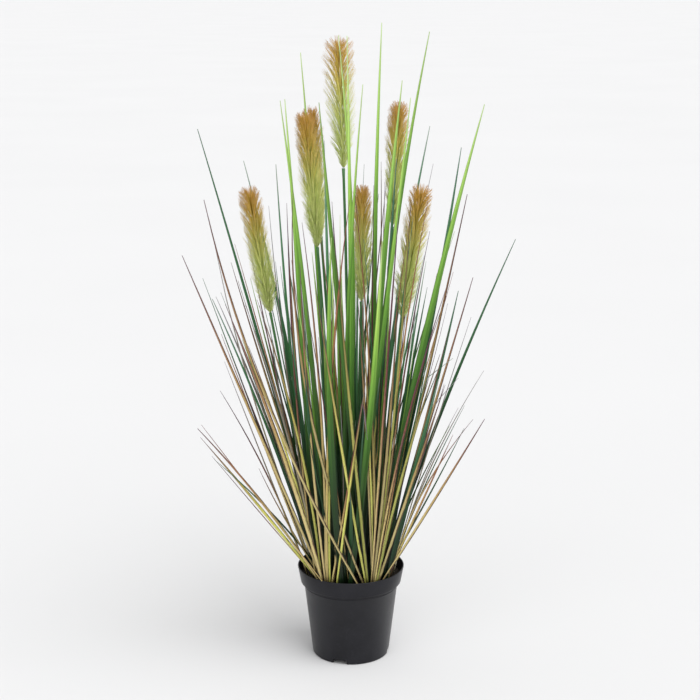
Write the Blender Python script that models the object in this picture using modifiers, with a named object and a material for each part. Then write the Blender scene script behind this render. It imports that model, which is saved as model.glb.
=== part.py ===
"""Potted fountain grass clump: artificial grass with seven bristle plumes in a plain nursery pot.

Metres, +Z up. The origin is the centre of the pot's underside, and the front faces -Y.
Every blade and stalk stands with its root in the dark filler that fills the pot.
"""
import math
from collections import namedtuple

import bpy
import bmesh
from mathutils import Vector

CM = 0.01

# Driving dimensions.
POT_HEIGHT = 0.130
RIM_RADIUS = 0.075
COLLAR_HEIGHT = 0.023
COLLAR_TAPER = 0.004
COLLAR_STEP = 0.0045
BASE_RADIUS = 0.0540
BASE_ROUNDING = 0.0025
RIM_ROUNDING = 0.0007
WALL = 0.0015
FOOT_RING = 0.0040
CHANNEL_WIDTH = 0.0130
CHANNEL_HEIGHT = 0.0075
CHANNEL_DRAFT = 0.0010
NOTCH_WIDTH = 0.020
NOTCH_HEIGHT = 0.0065
NOTCH_DEPTH = 0.008
NOTCH_AZIMUTHS = (-107, -8, 73, 172)
FILLER_TOP = 0.1150
FILLER_CROWN = 0.0030
GAP = 0.0003

STALK_RADIUS = 0.0022
BLADE_THICKNESS = 0.0006
BLADE_TIP_WIDTH = 0.0010
TUFT_THICKNESS = 0.0040
TUFT_TIP_SHARE = 0.5

POT_STEPS = 40
ARC_POINTS = 3
BLADE_ROWS = 10
STALK_POINTS = 7

# A blade's width: its share at the root, the share of the length where it is full, and how late it tapers.
ROOT_WIDTH = 0.6
FULL_WIDTH_AT = 0.35
TAPER_POWER = 1.7

# The filler's crown: at this share of the rim's radius it has kept the same share of its height.
CROWN_SHOULDER = 0.6

# Share of the way to the tip's front-back place that a blade has gone at half its height, doubled:
# blades rise steeply first and lean forward or back near the tip.
LEAN_SHARE = 0.3

# Worked out from the driving dimensions.
COLLAR_FOOT_RADIUS = RIM_RADIUS - COLLAR_TAPER
COLLAR_FOOT = POT_HEIGHT - COLLAR_HEIGHT
BODY_TOP_RADIUS = COLLAR_FOOT_RADIUS - COLLAR_STEP
CHANNEL_OUTER = BASE_RADIUS - FOOT_RING
CHANNEL_INNER = CHANNEL_OUTER - CHANNEL_WIDTH
RAISED_FLOOR = CHANNEL_HEIGHT + WALL
BLADE_ROOT = FILLER_TOP + FILLER_CROWN + GAP

# A blade: where its root stands (x, y), where its tip reaches (x, y, z), how far its middle
# stands to the right of the straight line between them, and its full width. All in centimetres.
Blade = namedtuple("Blade", "root tip bow width")

LIME_BLADES = (
    Blade((-2.6, 2.8), (-6.7, 3.4, 84.0), 0.5, 0.7),
    Blade((-2.9, -4.5), (-9.0, -7.5, 78.5), 0.6, 0.9),
    Blade((-5.0, -3.0), (-8.5, -5.0, 78.5), 0.3, 0.9),
    Blade((2.4, -6.1), (-4.0, -10.5, 78.5), -0.2, 1.0),
    Blade((-2.0, -2.8), (-1.6, -4.5, 86.5), 2.1, 0.7),
    Blade((0.2, -4.0), (-0.5, -6.0, 86.5), 0.2, 0.8),
    Blade((-0.8, -5.6), (1.5, -7.0, 80.5), -0.9, 0.7),
    Blade((3.4, -1.2), (4.0, -1.0, 88.0), -0.6, 0.9),
    Blade((2.0, -2.0), (10.0, -5.0, 87.0), -1.5, 0.9),
    Blade((1.3, -4.8), (6.5, -7.0, 81.0), -0.5, 1.2),
    Blade((0.0, -5.7), (7.5, -9.5, 79.0), 0.2, 0.9),
    Blade((3.4, -3.6), (17.0, -7.0, 78.0), -0.8, 1.2),
    Blade((-0.2, -6.3), (4.0, -10.5, 61.0), 0.6, 1.2),
    Blade((-1.2, -6.2), (-2.5, -11.0, 61.5), -0.9, 1.2),
)

TEAL_BLADES = (
    Blade((-3.7, -1.0), (-20.0, -3.0, 74.5), 0.2, 0.6),
    Blade((-4.4, 3.4), (-14.9, 9.0, 69.0), 1.2, 0.8),
    Blade((-5.5, 1.0), (-10.0, 0.5, 69.5), -0.3, 0.7),
    Blade((-1.5, -1.6), (-3.5, -3.0, 73.0), -0.2, 0.8),
    Blade((3.8, -0.4), (6.0, -2.0, 70.5), -0.4, 1.2),
    Blade((2.7, 1.9), (10.5, 1.0, 74.5), -1.1, 1.0),
    Blade((3.4, 0.2), (14.5, -2.0, 72.0), 0.8, 1.0),
    Blade((4.9, 1.5), (22.5, 3.0, 59.0), -0.8, 0.7),
    Blade((4.1, -3.5), (14.0, -8.0, 54.0), 0.5, 0.9),
    Blade((-4.7, -0.4), (-18.5, -3.5, 52.0), 0.7, 0.6),
    Blade((5.0, -4.0), (11.5, -9.5, 42.5), 0.0, 1.2),
)

SPECKLED_BLADES = (
    Blade((1.4, -6.7), (-18.5, -12.0, 66.5), -2.4, 0.6),
    Blade((-3.6, -5.0), (-22.0, -7.0, 58.5), 0.0, 0.6),
    Blade((-4.2, -4.6), (-20.0, -12.0, 36.5), 0.6, 0.5),
    Blade((4.2, -4.3), (17.5, -11.0, 37.5), 0.3, 0.5),
    Blade((3.9, -2.0), (15.0, -7.0, 66.5), 0.3, 0.6),
    Blade((4.1, -2.5), (16.0, -6.5, 55.5), 0.2, 0.6),
)

TUFTS = (
    Blade((-5.5, -2.0), (-19.5, -6.0, 36.5), 1.8, 2.0),
    Blade((-6.1, 0.5), (-18.5, 1.0, 56.0), 0.4, 2.0),
    Blade((-4.7, 2.2), (-11.0, 6.0, 64.0), -0.2, 2.0),
    Blade((-0.9, 5.0), (-2.0, 11.0, 61.0), -0.4, 2.2),
    Blade((1.3, 2.5), (2.5, 4.5, 74.0), 0.5, 1.8),
    Blade((3.0, -1.6), (7.5, -6.5, 65.0), 0.8, 1.8),
    Blade((3.9, 2.5), (11.0, 7.0, 60.0), 0.4, 2.0),
    Blade((5.3, 0.0), (13.0, -3.0, 54.5), 0.4, 2.0),
    Blade((5.8, -1.0), (17.5, -6.0, 42.5), 0.4, 2.0),
    Blade((-2.4, -5.9), (-4.5, -8.5, 53.5), -0.1, 1.6),
    Blade((-3.8, 4.3), (-16.0, 15.0, 57.0), 0.9, 2.2),
    Blade((3.1, 4.5), (14.5, 15.0, 58.5), -1.2, 2.2),
    Blade((-0.1, 6.0), (-1.0, 19.0, 63.5), -0.1, 2.2),
)

# Along a head from foot to top: share of its length, share of its full width.
TAPERED = (
    (0.0, 0.16), (0.08, 0.38), (0.2, 0.68), (0.38, 0.86), (0.6, 0.97), (0.8, 1.0), (0.93, 0.84), (1.0, 0.45),
)
FULL = (
    (0.0, 0.2), (0.07, 0.5), (0.18, 0.86), (0.35, 1.0), (0.6, 1.0), (0.8, 0.96), (0.93, 0.84), (1.0, 0.45),
)

# A plume: root, tip and bow as for a blade, its head's length and full width, and the head's shape.
Plume = namedtuple("Plume", "root tip bow head_length head_width shape")

PLUMES = (
    Plume((-0.4, 0.2), (-1.7, 0.8, 86.5), 0.55, 17.5, 5.2, TAPERED),
    Plume((-2.5, 0.0), (-6.3, -0.8, 77.0), 0.9, 18.5, 3.6, FULL),
    Plume((2.0, 0.9), (6.4, 1.5, 78.0), 0.4, 17.0, 3.6, TAPERED),
    Plume((-3.7, 1.5), (-14.0, 3.5, 66.5), -0.5, 18.0, 4.0, FULL),
    Plume((0.6, -0.4), (1.5, 0.0, 67.0), 0.2, 16.0, 3.2, FULL),
    Plume((4.1, -0.8), (9.5, -2.5, 67.5), -0.9, 18.5, 4.1, FULL),
    Plume((-1.6, 4.0), (-5.6, 6.0, 77.0), 0.5, 18.0, 3.4, TAPERED),
)


def material(name, colour, roughness, metallic=0.0):
    """A plain Principled material."""
    mat = bpy.data.materials.new(name)
    mat.use_nodes = True
    shader = mat.node_tree.nodes["Principled BSDF"]
    shader.inputs["Base Color"].default_value = (*colour, 1.0)
    shader.inputs["Roughness"].default_value = roughness
    shader.inputs["Metallic"].default_value = metallic
    return mat


def collection(name):
    """A new collection in the scene."""
    col = bpy.data.collections.new(name)
    bpy.context.scene.collection.children.link(col)
    return col


def add(name, data, mat, col):
    """Put a mesh or curve into a collection as a named object with its material."""
    obj = bpy.data.objects.new(name, data)
    if mat:
        data.materials.append(mat)
    col.objects.link(obj)
    return obj


def turned(name, outline, mat, col, steps=POT_STEPS):
    """Turn an outline of (radius, height) points about the Z axis."""
    mesh = bpy.data.meshes.new(name)
    points = [(radius, 0.0, height) for radius, height in outline]
    edges = [(i, i + 1) for i in range(len(points) - 1)]
    mesh.from_pydata(points, edges, [])
    obj = add(name, mesh, mat, col)
    screw = obj.modifiers.new("Turn", "SCREW")
    screw.axis = "Z"
    screw.angle = math.tau
    screw.steps = steps
    screw.render_steps = steps
    screw.use_merge_vertices = True
    screw.merge_threshold = 0.00001
    screw.use_smooth_shade = True
    return obj


def arc(centre, radius, start, end, count=ARC_POINTS):
    """Points on an arc in the outline plane, angles in degrees from the outward direction."""
    points = []
    for i in range(count):
        angle = math.radians(start + (end - start) * i / (count - 1))
        points.append((centre[0] + radius * math.cos(angle), centre[1] + radius * math.sin(angle)))
    return points


def body_radius(height):
    """Outer radius of the pot's body under its collar."""
    share = height / COLLAR_FOOT
    return BASE_RADIUS + (BODY_TOP_RADIUS - BASE_RADIUS) * share


def collar_radius(height):
    """Outer radius of the pot's collar."""
    share = (height - COLLAR_FOOT) / COLLAR_HEIGHT
    return COLLAR_FOOT_RADIUS + COLLAR_TAPER * share


def make_pot(mat, col, cutters):
    """A thin-walled pot: tapered body, stepped-out collar, and four drain notches in the foot ring.

    The notches open into a channel that runs round under the floor, inside the foot ring.
    """
    inside = [
        (0.0, WALL),
        (CHANNEL_INNER - WALL, WALL),
        (CHANNEL_INNER - WALL + CHANNEL_DRAFT, RAISED_FLOOR),
        (body_radius(RAISED_FLOOR) - WALL, RAISED_FLOOR),
        (BODY_TOP_RADIUS - WALL, COLLAR_FOOT),
        (COLLAR_FOOT_RADIUS - WALL, COLLAR_FOOT + WALL),
    ]
    rim_centre = (RIM_RADIUS - RIM_ROUNDING, POT_HEIGHT - RIM_ROUNDING)
    rim = [(RIM_RADIUS - WALL, POT_HEIGHT)] + arc(rim_centre, RIM_ROUNDING, 90, 0)
    outside = [(COLLAR_FOOT_RADIUS, COLLAR_FOOT), (BODY_TOP_RADIUS, COLLAR_FOOT)]
    foot_centre = (body_radius(BASE_ROUNDING) - BASE_ROUNDING, BASE_ROUNDING)
    foot = arc(foot_centre, BASE_ROUNDING, 0, -90)
    underside = [
        (CHANNEL_OUTER, 0.0),
        (CHANNEL_OUTER - CHANNEL_DRAFT, CHANNEL_HEIGHT),
        (CHANNEL_INNER + CHANNEL_DRAFT, CHANNEL_HEIGHT),
        (CHANNEL_INNER, 0.0),
        (0.0, 0.0),
    ]
    pot = turned("pot", inside + rim + outside + foot + underside, mat, col)

    for i, azimuth in enumerate(NOTCH_AZIMUTHS):
        mesh = bpy.data.meshes.new(f"notch_{i + 1}")
        shape = bmesh.new()
        bmesh.ops.create_cube(shape, size=1.0)
        size = Vector((2 * NOTCH_DEPTH, NOTCH_WIDTH, 2 * NOTCH_HEIGHT))
        bmesh.ops.scale(shape, vec=size, verts=shape.verts)
        shape.to_mesh(mesh)
        shape.free()
        cutter = add(f"notch_{i + 1}", mesh, None, cutters)
        angle = math.radians(azimuth)
        cutter.location = (BASE_RADIUS * math.cos(angle), BASE_RADIUS * math.sin(angle), 0.0)
        cutter.rotation_euler = (0.0, 0.0, angle)
        cutter.hide_render = True
        cutter.display_type = "WIRE"
        cut = pot.modifiers.new(f"Notch {i + 1}", "BOOLEAN")
        cut.operation = "DIFFERENCE"
        cut.object = cutter
    return pot


def make_filler(mat, col):
    """The weighted plug that fills the pot and holds the grass, with a slightly crowned top."""
    floor = WALL + GAP
    step = RAISED_FLOOR + GAP
    outline = [
        (0.0, FILLER_TOP + FILLER_CROWN),
        (CROWN_SHOULDER * RIM_RADIUS, FILLER_TOP + CROWN_SHOULDER * FILLER_CROWN),
        (collar_radius(FILLER_TOP) - WALL - GAP, FILLER_TOP),
        (COLLAR_FOOT_RADIUS - WALL - GAP, COLLAR_FOOT + WALL + GAP),
        (BODY_TOP_RADIUS - WALL - GAP, COLLAR_FOOT + GAP),
        (body_radius(step) - WALL - GAP, step),
        (CHANNEL_INNER - WALL + CHANNEL_DRAFT - GAP, step),
        (CHANNEL_INNER - WALL - GAP, floor),
        (0.0, floor),
    ]
    return turned("filler_plug", outline, mat, col)


def path(root, tip, bow, share):
    """A point on the curve of a blade or stalk: straight up at first, leaning over near its tip."""
    foot = Vector((root[0] * CM, root[1] * CM, BLADE_ROOT))
    end = Vector((tip[0] * CM, tip[1] * CM, tip[2] * CM))
    middle = (foot + end) / 2
    middle.x += 2 * bow * CM
    middle.y = foot.y + LEAN_SHARE * (end.y - foot.y)
    return foot * (1 - share) ** 2 + middle * 2 * share * (1 - share) + end * share ** 2


def blade_share(share, tip_share):
    """Width of a blade at a share of its length: narrow root, full third, long taper to the tip."""
    if share < FULL_WIDTH_AT:
        return ROOT_WIDTH + (1.0 - ROOT_WIDTH) * math.sin(math.pi / 2 * share / FULL_WIDTH_AT)
    taper = 1.0 - ((share - FULL_WIDTH_AT) / (1.0 - FULL_WIDTH_AT)) ** TAPER_POWER
    return tip_share + (1.0 - tip_share) * taper


def make_blade(name, blade, mat, col, turn, thickness=BLADE_THICKNESS, tip_share=None):
    """A strip bent along the blade's curve and given its thickness.

    turn is the angle in degrees between the strip's flat face and the front.
    """
    width = blade.width * CM
    if tip_share is None:
        tip_share = BLADE_TIP_WIDTH / width
    strip = bmesh.new()
    bmesh.ops.create_grid(strip, x_segments=1, y_segments=BLADE_ROWS, size=0.5)
    facing = Vector((math.sin(math.radians(turn)), -math.cos(math.radians(turn)), 0.0))
    for vert in strip.verts:
        share = min(max(vert.co.y + 0.5, 0.0), 1.0)
        here = path(blade.root, blade.tip, blade.bow, share)
        ahead = path(blade.root, blade.tip, blade.bow, share + 0.01)
        across = facing.cross(here - ahead).normalized()
        vert.co = here + across * (2 * vert.co.x) * (width / 2) * blade_share(share, tip_share)
    mesh = bpy.data.meshes.new(name)
    strip.to_mesh(mesh)
    strip.free()
    obj = add(name, mesh, mat, col)
    solid = obj.modifiers.new("Thickness", "SOLIDIFY")
    solid.thickness = thickness
    solid.offset = 0.0
    return obj


def make_tube(name, points, radii, mat, col):
    """A tube through the points, each with its own radius, closed by flat caps."""
    curve = bpy.data.curves.new(name, "CURVE")
    curve.dimensions = "3D"
    curve.bevel_depth = 1.0
    curve.bevel_resolution = 2
    curve.use_fill_caps = True
    spline = curve.splines.new("POLY")
    spline.points.add(len(points) - 1)
    for point, place, radius in zip(spline.points, points, radii):
        point.co = (*place, 1.0)
        point.radius = radius
    return add(name, curve, mat, col)


def make_plume(number, plume, stalk_mat, head_mat, col):
    """A bare stalk, and over it the spindle that the tips of the head's bristles reach."""
    foot = path(plume.root, plume.tip, plume.bow, 0.0)
    top = path(plume.root, plume.tip, plume.bow, 1.0)
    length = (top - foot).length
    head_start = 1.0 - plume.head_length * CM / length
    stalk_end = head_start - 2 * GAP / length

    shares = [stalk_end * i / (STALK_POINTS - 1) for i in range(STALK_POINTS)]
    points = [path(plume.root, plume.tip, plume.bow, share) for share in shares]
    make_tube(f"plume_stalk_{number}", points, [STALK_RADIUS] * STALK_POINTS, stalk_mat, col)

    shares = [head_start + (1.0 - head_start) * along for along, _ in plume.shape]
    points = [path(plume.root, plume.tip, plume.bow, share) for share in shares]
    radii = [plume.head_width * CM / 2 * wide for _, wide in plume.shape]
    make_tube(f"plume_head_{number}", points, radii, head_mat, col)


def blade_turn(number):
    """Each blade faces the front, turned a little to one side or the other."""
    return 18.0 * math.sin(2.4 * number)


def main():
    for obj in list(bpy.data.objects):
        bpy.data.objects.remove(obj)

    grass = collection("potted_fountain_grass")
    cutters = collection("cutters")

    black = material("black pot plastic", (0.028, 0.028, 0.031), 0.45)
    dark = material("dark filler", (0.012, 0.010, 0.008), 0.95)
    lime = material("lime blade plastic", (0.25, 0.48, 0.08), 0.5)
    teal = material("teal blade plastic", (0.03, 0.15, 0.08), 0.5)
    speckled = material("speckled blade plastic", (0.42, 0.32, 0.12), 0.55)
    mixed = material("thin blade plastic", (0.22, 0.26, 0.08), 0.55)
    stalk = material("green stalk plastic", (0.05, 0.16, 0.04), 0.5)
    bristle = material("plume bristle", (0.38, 0.24, 0.08), 0.7)

    make_pot(black, grass, cutters)
    make_filler(dark, grass)
    kinds = (("lime_blade", LIME_BLADES, lime), ("teal_blade", TEAL_BLADES, teal))
    kinds += (("speckled_blade", SPECKLED_BLADES, speckled),)
    for kind, blades, mat in kinds:
        for number, blade in enumerate(blades, 1):
            make_blade(f"{kind}_{number:02d}", blade, mat, grass, blade_turn(number))
    for number, tuft in enumerate(TUFTS, 1):
        make_blade(f"thin_blade_tuft_{number:02d}", tuft, mixed, grass, 0.0, TUFT_THICKNESS, TUFT_TIP_SHARE)
    for number, plume in enumerate(PLUMES, 1):
        make_plume(number, plume, stalk, bristle, grass)


main()
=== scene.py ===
# %% [markdown]
# # Potted fountain grass
# This lesson dresses a tall artificial fountain grass in a plain black nursery pot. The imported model
# already holds the true size and place of every blade, stalk and plume as simple solids. Each step
# below reads those places and builds the fine surface there: thin ribbed blades, bristle plumes and
# a moulded pot.

# %% Load the frame
import math
import random
from collections import namedtuple

import bmesh
import bpy
import numpy as np
from mathutils import Matrix, Vector, noise


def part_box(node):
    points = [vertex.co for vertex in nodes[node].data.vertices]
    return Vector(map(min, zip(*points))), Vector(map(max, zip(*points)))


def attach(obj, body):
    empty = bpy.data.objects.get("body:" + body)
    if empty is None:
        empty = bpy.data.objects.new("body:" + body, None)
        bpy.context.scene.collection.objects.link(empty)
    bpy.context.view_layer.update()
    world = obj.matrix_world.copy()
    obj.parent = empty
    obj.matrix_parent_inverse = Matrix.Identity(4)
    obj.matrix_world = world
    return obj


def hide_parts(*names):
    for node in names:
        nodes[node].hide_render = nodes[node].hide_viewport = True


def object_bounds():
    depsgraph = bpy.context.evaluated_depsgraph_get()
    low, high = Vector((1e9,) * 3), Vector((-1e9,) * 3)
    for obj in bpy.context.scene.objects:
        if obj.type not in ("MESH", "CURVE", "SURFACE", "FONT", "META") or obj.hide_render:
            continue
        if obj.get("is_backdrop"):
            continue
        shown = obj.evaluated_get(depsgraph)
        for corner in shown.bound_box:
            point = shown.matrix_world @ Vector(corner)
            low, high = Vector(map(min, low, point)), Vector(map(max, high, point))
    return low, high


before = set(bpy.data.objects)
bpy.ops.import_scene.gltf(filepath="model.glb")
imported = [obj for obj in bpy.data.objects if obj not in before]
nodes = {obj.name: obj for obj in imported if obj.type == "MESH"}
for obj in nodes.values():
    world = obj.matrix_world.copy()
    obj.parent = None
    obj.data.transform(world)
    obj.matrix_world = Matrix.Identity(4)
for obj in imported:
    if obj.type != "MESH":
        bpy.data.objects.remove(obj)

cad_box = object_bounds()
MM = 0.001
print("model box in metres:", [[round(v, 3) for v in corner] for corner in cad_box])


# %% [markdown]
# ## Colour and shader helpers
# A material in Blender is a graph of nodes. Building it by hand takes many lines, so a few small
# classes do the wiring. `Value` wraps a socket: adding or multiplying two of them adds the Math
# node that does it, so a pattern can be written as an ordinary formula. `Graph` has a single method
# that adds any other node, and `Finish` is a graph around one Principled shader.

# %% A socket that does arithmetic
def colour(red, green, blue):
    """A display colour from 0 to 255, as the linear colour that a shader works with."""
    linear = []
    for part in (red, green, blue):
        share = part / 255
        linear.append(share / 12.92 if share <= 0.04045 else ((share + 0.055) / 1.055) ** 2.4)
    return (*linear, 1.0)


class Value:
    """A node's output socket. Arithmetic on it adds Math nodes."""

    def __init__(self, graph, socket):
        self.graph = graph
        self.socket = socket

    def maths(self, operation, *parts):
        return self.graph.add("ShaderNodeMath", {"operation": operation}, dict(enumerate(parts)))

    def __add__(self, other):
        return self.maths("ADD", self, other)

    def __radd__(self, other):
        return self.maths("ADD", other, self)

    def __sub__(self, other):
        return self.maths("SUBTRACT", self, other)

    def __rsub__(self, other):
        return self.maths("SUBTRACT", other, self)

    def __mul__(self, other):
        return self.maths("MULTIPLY", self, other)

    def __rmul__(self, other):
        return self.maths("MULTIPLY", other, self)

    def __abs__(self):
        return self.maths("ABSOLUTE", self)

    def sine(self):
        return self.maths("SINE", self)

    def step(self, low, high):
        """0 below low, 1 above high, with a smooth change between them."""
        settings = {"interpolation_type": "SMOOTHSTEP"}
        return self.graph.add("ShaderNodeMapRange", settings, {0: self, 1: low, 2: high, 3: 0.0, 4: 1.0})


# %% A graph with one way to add a node
class Graph:
    """The node tree of a material or of the world."""

    def __init__(self, tree):
        self.tree = tree

    def add(self, kind, settings=None, values=None, output=0):
        """Add a node: its settings first, then a value or a link for each of its sockets."""
        node = self.tree.nodes.new(kind)
        for key, setting in (settings or {}).items():
            if key == "stops":
                while len(node.color_ramp.elements) < len(setting):
                    node.color_ramp.elements.new(0.5)
                for element, (place, tint) in zip(node.color_ramp.elements, setting):
                    element.position = place
                    element.color = tint
            else:
                setattr(node, key, setting)
        for key, value in (values or {}).items():
            if isinstance(value, Value):
                self.tree.links.new(value.socket, node.inputs[key])
            else:
                node.inputs[key].default_value = value
        return Value(self, node.outputs[output])

    def attribute(self, name):
        """A number stored on the mesh, one for each vertex."""
        return self.add("ShaderNodeAttribute", {"attribute_name": name}, output="Fac")

    def uv(self):
        """The two coordinates of the piece's own UV map."""
        place = self.add("ShaderNodeUVMap", {"uv_map": "UVMap"})
        across = self.add("ShaderNodeSeparateXYZ", {}, {0: place}, output="X")
        along = self.add("ShaderNodeSeparateXYZ", {}, {0: place}, output="Y")
        return across, along

    def place(self):
        """The place on the piece in its own metres."""
        return self.add("ShaderNodeTexCoord", {}, output="Object")

    def height(self):
        return self.add("ShaderNodeSeparateXYZ", {}, {0: self.place()}, output="Z")

    def vector(self, x, y, z):
        return self.add("ShaderNodeCombineXYZ", {}, {0: x, 1: y, 2: z})

    def noise(self, place, scale, detail=3.0, roughness=0.6):
        values = {"Vector": place, "Scale": scale, "Detail": detail, "Roughness": roughness}
        return self.add("ShaderNodeTexNoise", {}, values)

    def ramp(self, value, stops):
        return self.add("ShaderNodeValToRGB", {"stops": stops}, {0: value})

    def mix(self, factor, first, second, blend="MIX"):
        """Blend two colours. The colour sockets of a Mix node are its 7th and 8th."""
        settings = {"data_type": "RGBA", "blend_type": blend}
        return self.add("ShaderNodeMix", settings, {0: factor, 6: first, 7: second}, output=2)

    def bump(self, height, distance, strength=1.0):
        values = {"Height": height, "Distance": distance, "Strength": strength}
        return self.add("ShaderNodeBump", {}, values, output="Normal")


class Finish(Graph):
    """A material built node by node around one Principled shader."""

    def __init__(self, name, **constants):
        self.material = bpy.data.materials.new(name)
        self.material.use_nodes = True
        super().__init__(self.material.node_tree)
        self.shader = self.tree.nodes["Principled BSDF"]
        for socket, value in constants.items():
            self.shader.inputs[socket.replace("_", " ")].default_value = value

    def set(self, **inputs):
        """Link the patterns to the shader's own sockets."""
        for socket, value in inputs.items():
            self.tree.links.new(value.socket, self.shader.inputs[socket.replace("_", " ")])
        return self.material


# %% [markdown]
# ## Blade finishes
# The real blades are moulded plastic strips with fine ribs along them. Each strip's UV map runs
# across it in x and from root to tip in y, so a ramp on y gives the change from dark root to bright
# tip, which for the green blades is partly painted shade of the clump, and a sine on x gives the
# ribs. Two numbers stored on each blade shift its tone and move its pattern, so no two blades look
# alike. The variegated blades are printed with a dark red edge that wanders in and out, which is a
# noise pattern stretched along the blade and pushed to one side. Half of each folded blade is
# darkened with painted shade, as if turned from the light, and both its edges are darker too, so
# blades that stand close together stay apart to the eye. Low down, where the clump is dense, the
# lime and teal blades get more painted shade.

# %% Ribbed strip finish
RIBS = 7
DEEP_SHADE = (0.16, 0.2, 0.17, 1.0)


def blade_finish(name, stops, spot, spot_share, edge=None, edge_share=0.0, deep=0.0):
    """A ribbed strip: a ramp from root to tip, spots along it, and perhaps a second colour at one edge.

    deep is how much painted shade darkens the blade low down, where the clump is dense.
    """
    finish = Finish(name, Specular_IOR_Level=0.4)
    across, along = finish.uv()
    tone = finish.attribute("tone")
    shift = finish.attribute("shift")

    streak_place = finish.vector(across * 6.0 + shift * 40.0, along * 5.0, shift * 9.0)
    streaks = finish.noise(streak_place, 1.6, 4.0)
    base = finish.ramp(along + (streaks - 0.5) * 0.3 + (tone - 0.5) * 0.14, stops)

    from_middle = abs(across - 0.5) * 2.0
    if edge:
        edge_place = finish.vector(across * 2.0, along * 9.0 + shift * 31.0, shift * 5.0)
        wander = finish.noise(edge_place, 2.0, 3.0)
        border = (across + (wander - 0.5) * 1.3).step(0.98 - edge_share, 1.1 - edge_share)
        base = finish.mix(border * 0.9, base, edge)
    spot_place = finish.vector(across * 4.0, along * 42.0 + shift * 70.0, shift * 3.0)
    spots = finish.noise(spot_place, 2.0, 2.0).step(1.0 - spot_share, 1.08 - spot_share)
    base = finish.mix(spots * 0.85, base, spot)

    lighter = finish.mix((tone - 0.5).step(0.0, 0.5) * 0.3, base, (0.8, 0.85, 0.5, 1.0), "SOFT_LIGHT")
    darker = finish.mix((0.5 - tone).step(0.0, 0.5) * 0.5, lighter, (0.25, 0.28, 0.25, 1.0), "MULTIPLY")
    # Painted shade: low down in the dense clump the blade is darkened towards DEEP_SHADE.
    painted_shade_low_down = 1.0 - finish.height().step(0.16, 0.52)
    shaded = finish.mix(painted_shade_low_down * deep, darker, DEEP_SHADE, "MULTIPLY")

    # Painted shade: one half of each folded blade is darkened as if turned away from the light.
    painted_fold_shade = across.step(0.44, 0.56) * 0.45
    shaded = finish.mix(painted_fold_shade, shaded, (0.4, 0.5, 0.36, 1.0), "MULTIPLY")
    outline = from_middle.step(0.66, 1.0) * 0.5
    shaded = finish.mix(outline, shaded, (0.34, 0.24, 0.24, 1.0), "MULTIPLY")
    ribs = (across * (RIBS * math.tau)).sine()
    midrib = 1.0 - from_middle.step(0.0, 0.16)
    grain = finish.noise(streak_place, 22.0, 2.0)
    height = ribs * 0.35 + midrib * 0.9 + grain * 0.25
    tint = finish.mix(midrib * 0.22, shaded, (0.7, 0.75, 0.45, 1.0), "SOFT_LIGHT")
    rough = 0.42 + streaks * 0.22
    return finish.set(Base_Color=tint, Roughness=rough, Normal=finish.bump(height, 0.12 * MM, 0.6))


# %% The colours of the blades
BURGUNDY = colour(92, 40, 50)
# The lime and teal ramps darken towards the root partly as the blades' own colour and partly as painted
# shade of the dense clump.
lime_stops = (
    (0.0, colour(38, 72, 34)),
    (0.25, colour(58, 104, 40)),
    (0.5, colour(86, 138, 46)),
    (0.68, colour(120, 172, 66)),
    (0.8, colour(156, 202, 90)),
    (0.92, colour(182, 220, 118)),
    (1.0, colour(200, 226, 156)),
)
teal_stops = (
    (0.0, colour(26, 64, 38)),
    (0.3, colour(38, 88, 48)),
    (0.55, colour(54, 114, 62)),
    (0.78, colour(72, 128, 86)),
    (0.95, colour(104, 144, 124)),
    (1.0, colour(150, 168, 160)),
)
speckled_stops = (
    (0.0, colour(208, 188, 130)),
    (0.3, colour(220, 200, 138)),
    (0.5, colour(206, 176, 114)),
    (0.7, colour(172, 130, 94)),
    (0.88, colour(136, 96, 94)),
    (1.0, colour(138, 118, 134)),
)
yellow_stops = (
    (0.0, colour(190, 190, 98)),
    (0.35, colour(222, 220, 118)),
    (0.55, colour(216, 206, 112)),
    (0.75, colour(170, 146, 90)),
    (0.9, colour(140, 112, 88)),
    (1.0, colour(140, 122, 130)),
)
burgundy_stops = (
    (0.0, colour(204, 186, 124)),
    (0.32, colour(206, 180, 122)),
    (0.5, colour(156, 104, 84)),
    (0.68, colour(112, 56, 66)),
    (0.9, colour(108, 74, 100)),
    (1.0, colour(150, 130, 160)),
)
copper_stops = (
    (0.0, colour(208, 184, 122)),
    (0.35, colour(216, 192, 118)),
    (0.58, colour(202, 152, 98)),
    (0.8, colour(178, 112, 82)),
    (1.0, colour(156, 106, 104)),
)
grey_stops = (
    (0.0, colour(196, 190, 160)),
    (0.4, colour(168, 156, 134)),
    (0.7, colour(142, 132, 130)),
    (1.0, colour(168, 162, 172)),
)
blade_finishes = {
    "lime": blade_finish("lime blade", lime_stops, colour(60, 112, 44), 0.26, deep=0.9),
    "teal": blade_finish("teal blade", teal_stops, colour(22, 62, 44), 0.3, deep=0.8),
    "speckled": blade_finish("speckled blade", speckled_stops, colour(84, 52, 44), 0.36, BURGUNDY, 0.26),
    "yellow": blade_finish("yellow blade", yellow_stops, colour(110, 92, 44), 0.38, BURGUNDY, 0.16),
    "burgundy": blade_finish("burgundy blade", burgundy_stops, colour(58, 24, 40), 0.42, BURGUNDY, 0.34),
    "copper": blade_finish("copper blade", copper_stops, colour(96, 52, 46), 0.34, BURGUNDY, 0.2),
    "grey": blade_finish("grey blade", grey_stops, colour(96, 88, 84), 0.34),
}
print("blade finishes:", ", ".join(blade_finishes))


# %% [markdown]
# ## Reading a blade's line from its solid
# A blade's solid is a strip bent along a smooth curve: four corners at each of eleven places along
# it. Sorting its corners from root to tip and taking them four at a time gives back the middle
# line and the width. A smooth curve through those places then carries a much finer strip.

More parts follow.
